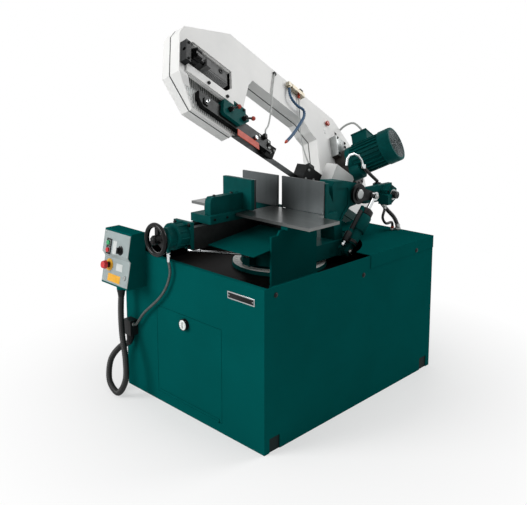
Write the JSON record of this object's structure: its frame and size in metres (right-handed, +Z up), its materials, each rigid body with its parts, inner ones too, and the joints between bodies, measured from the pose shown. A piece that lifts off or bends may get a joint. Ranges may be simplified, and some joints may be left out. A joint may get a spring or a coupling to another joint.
{
  "type": "mitre band saw",
  "caption": "Floor-standing mitre band saw: a leaning saw bow with motor pivots and swivels over a table and hand-wheel vise on a sheet cabinet with chip tray and side console.",
  "frame": {"origin": "middle of the cabinet footprint on the floor", "axes": "+X to the right of a person at the console, +Y from the front to the rear, +Z up"},
  "size_m": [0.998, 1.5869, 1.7423],
  "materials": {
    "white_paint": "semi-gloss paint",
    "green_paint": "semi-gloss paint",
    "frame_paint": "matt paint",
    "tray_paint": "oily dark paint",
    "dark_casting": "machined and oiled",
    "scale_white": "satin",
    "ground_steel": "ground",
    "jaw_steel": "ground, dark",
    "screw_steel": "turned",
    "panel_grey": "satin",
    "black_plastic": "matt",
    "conduit_black": "satin",
    "braided_steel": "braided",
    "black_rubber": "matt",
    "latch_white": "satin",
    "lever_steel": "bright",
    "crank_steel": "blackened",
    "wheel_iron": "turned rim",
    "blade_steel": "bright",
    "slide_steel": "machined",
    "guide_steel": "blackened",
    "lever_red": "gloss",
    "guard_orange": "gloss",
    "gear_aluminium": "cast",
    "valve_brass": "cast",
    "hose_blue": "gloss",
    "line_grey": "satin",
    "rod_chrome": "polished",
    "button_green": "gloss",
    "button_red": "gloss"
  },
  "bodies": {
    "cabinet": {"base_frame": "frame_paint", "front_panel": "green_paint", "right_panel": "green_paint", "back_panels": "green_paint", "chip_tray": "tray_paint", "rear_deck": "green_paint", "turntable_base": "dark_casting", "scale_ring": "scale_white", "vise_bed": "dark_casting", "work_table": "ground_steel", "table_support": "green_paint", "chip_chute": "green_paint", "fixed_jaw_plates": "jaw_steel", "jaw_support": "green_paint", "screw_housing": "green_paint", "console_case": "green_paint", "console_panel": "panel_grey", "gland_box": "black_plastic", "console_conduit": "conduit_black", "vise_hose": "braided_steel"},
    "door": {"door": "green_paint"},
    "latch": {"door_latch": "latch_white"},
    "jaw": {"movable_jaw": "green_paint", "jaw_face_plate": "jaw_steel"},
    "screw": {"vise_screw": "screw_steel", "vise_handwheel": "black_plastic"},
    "swivel": {"swivel_frame": "green_paint", "feed_valve": "green_paint", "hose_lower": "black_rubber", "cylinder_hose": "black_rubber"},
    "lock_lever": {"lock_lever": "lever_steel"},
    "feed_knob": {"feed_knob": "black_plastic"},
    "arm": {"arm_frame": "white_paint", "wheel_cover": "white_paint", "pivot_crank": "crank_steel", "blade": "blade_steel", "tension_block": "black_plastic", "guide_clamp": "green_paint", "rear_guide": "guide_steel", "gearbox": "gear_aluminium", "motor": "green_paint", "coolant_valve": "valve_brass", "coolant_hose": "hose_blue", "arm_lines": "line_grey", "hose_upper": "black_rubber"},
    "drive_wheel": {"drive_wheel": "wheel_iron"},
    "tension_slide": {"tension_slide": "slide_steel"},
    "idler_wheel": {"idler_wheel": "wheel_iron"},
    "tension_wheel": {"tension_handwheel": "black_plastic"},
    "guide": {"guide_bar": "guide_steel", "blade_guard": "guard_orange"},
    "clamp_front": {"clamp_lever_front": "lever_red"},
    "clamp_rear": {"clamp_lever_rear": "lever_red"},
    "tap": {"coolant_tap": "black_plastic"},
    "cylinder": {"cylinder_barrel": "green_paint"},
    "rod": {"cylinder_rod": "rod_chrome"},
    "start": {"start_button": "button_green"},
    "stop": {"stop_button": "button_red"},
    "mode": {"mode_switch": "black_plastic"},
    "estop": {"estop_button": "button_red"}
  },
  "joints": [
    {"name": "door_drop", "type": "hinge", "parent": "cabinet", "child": "door", "pos_m": [0, -0.623, 0.0455], "axis": [1, 0, 0], "range_deg": [0, 85]},
    {"name": "latch_turn", "type": "hinge", "parent": "door", "child": "latch", "pos_m": [-0.02, -0.62, 0.428], "axis": [0, 1, 0], "range_deg": [0, 90]},
    {"name": "jaw_slide", "type": "slide", "parent": "cabinet", "child": "jaw", "axis": [0, 1, 0], "range_m": [-0.09, 0.144]},
    {"name": "screw_turn", "type": "hinge", "parent": "cabinet", "child": "screw", "pos_m": [-0.12, -0.69, 0.81], "axis": [0, 1, 0], "range_deg": [-5400, 8640]},
    {"name": "arm_swivel", "type": "hinge", "parent": "cabinet", "child": "swivel", "pos_m": [0, -0.03, 0.7], "axis": [0, 0, 1], "range_deg": [0, 45]},
    {"name": "swivel_lock", "type": "hinge", "parent": "swivel", "child": "lock_lever", "pos_m": [0, -0.244, 0.678], "axis": [0, 0, 1], "range_deg": [-12, 25]},
    {"name": "feed_turn", "type": "hinge", "parent": "swivel", "child": "feed_knob", "pos_m": [0.28, 0.545, 0.9], "axis": [1, 0, 0], "range_deg": [0, 270]},
    {"name": "arm_lower", "type": "hinge", "parent": "swivel", "child": "arm", "pos_m": [0, 0.3, 0.93], "axis": [1, 0, 0], "range_deg": [0, 30]},
    {"name": "drive_spin", "type": "hinge", "parent": "arm", "child": "drive_wheel", "pos_m": [-0.0975, 0.54017, 0.94598], "axis": [0.866, 0.25, 0.433], "continuous": true},
    {"name": "blade_tension", "type": "slide", "parent": "arm", "child": "tension_slide", "axis": [0, 0.866, -0.5], "range_m": [0, 0.014]},
    {"name": "idler_spin", "type": "hinge", "parent": "tension_slide", "child": "idler_wheel", "pos_m": [-0.0975, -0.42545, 1.50348], "axis": [0.866, 0.25, 0.433], "continuous": true},
    {"name": "tension_turn", "type": "hinge", "parent": "arm", "child": "tension_wheel", "pos_m": [-0.02745, -0.53802, 1.60851], "axis": [0, 0.866, -0.5], "range_deg": [0, 1680]},
    {"name": "guide_slide", "type": "slide", "parent": "arm", "child": "guide", "axis": [0, 0.866, -0.5], "range_m": [0, 0.08]},
    {"name": "clamp_turn_front", "type": "hinge", "parent": "arm", "child": "clamp_front", "pos_m": [0.03462, -0.38587, 1.37805], "axis": [0.866, 0.25, 0.433], "range_deg": [-60, 60]},
    {"name": "clamp_turn_rear", "type": "hinge", "parent": "arm", "child": "clamp_rear", "pos_m": [0.03362, -0.30186, 1.33155], "axis": [0.866, 0.25, 0.433], "range_deg": [-60, 60]},
    {"name": "tap_turn", "type": "hinge", "parent": "arm", "child": "tap", "pos_m": [-0.19938, 0.34766, 1.42255], "axis": [-0.5, 0.433, 0.75], "range_deg": [0, 90]},
    {"name": "cylinder_swing", "type": "hinge", "parent": "swivel", "child": "cylinder", "pos_m": [0.258, 0.18, 0.662], "axis": [1, 0, 0], "range_deg": [-0.5, 6.5]},
    {"name": "rod_slide", "type": "slide", "parent": "cylinder", "child": "rod", "axis": [0, 0.6749, 0.7379], "range_m": [-0.002, 0.045]},
    {"name": "start_press", "type": "slide", "parent": "cabinet", "child": "start", "axis": [0, 0.9823, -0.1875], "range_m": [0, 0.004], "stiffness_N_per_m": 600},
    {"name": "stop_press", "type": "slide", "parent": "cabinet", "child": "stop", "axis": [0, 0.9823, -0.1875], "range_m": [0, 0.004], "stiffness_N_per_m": 600},
    {"name": "mode_turn", "type": "hinge", "parent": "cabinet", "child": "mode", "pos_m": [-0.372, -0.71104, 0.716], "axis": [0, -0.9823, 0.1875], "range_deg": [-45, 45]},
    {"name": "estop_press", "type": "slide", "parent": "cabinet", "child": "estop", "axis": [0, 0.98, -0.1991], "range_m": [0, 0.006], "stiffness_N_per_m": 900}
  ],
  "couplings": [
    {"joint": "screw_turn", "follows": "jaw_slide", "rad_per_m": 1047.2},
    {"joint": "tension_turn", "follows": "blade_tension", "rad_per_m": 2094.4},
    {"joint": "idler_spin", "follows": "drive_spin", "ratio": 1},
    {"joint": "cylinder_swing", "follows": "arm_lower", "ratio": 0.195},
    {"joint": "rod_slide", "follows": "arm_lower", "m_per_rad": 0.0807}
  ]
}
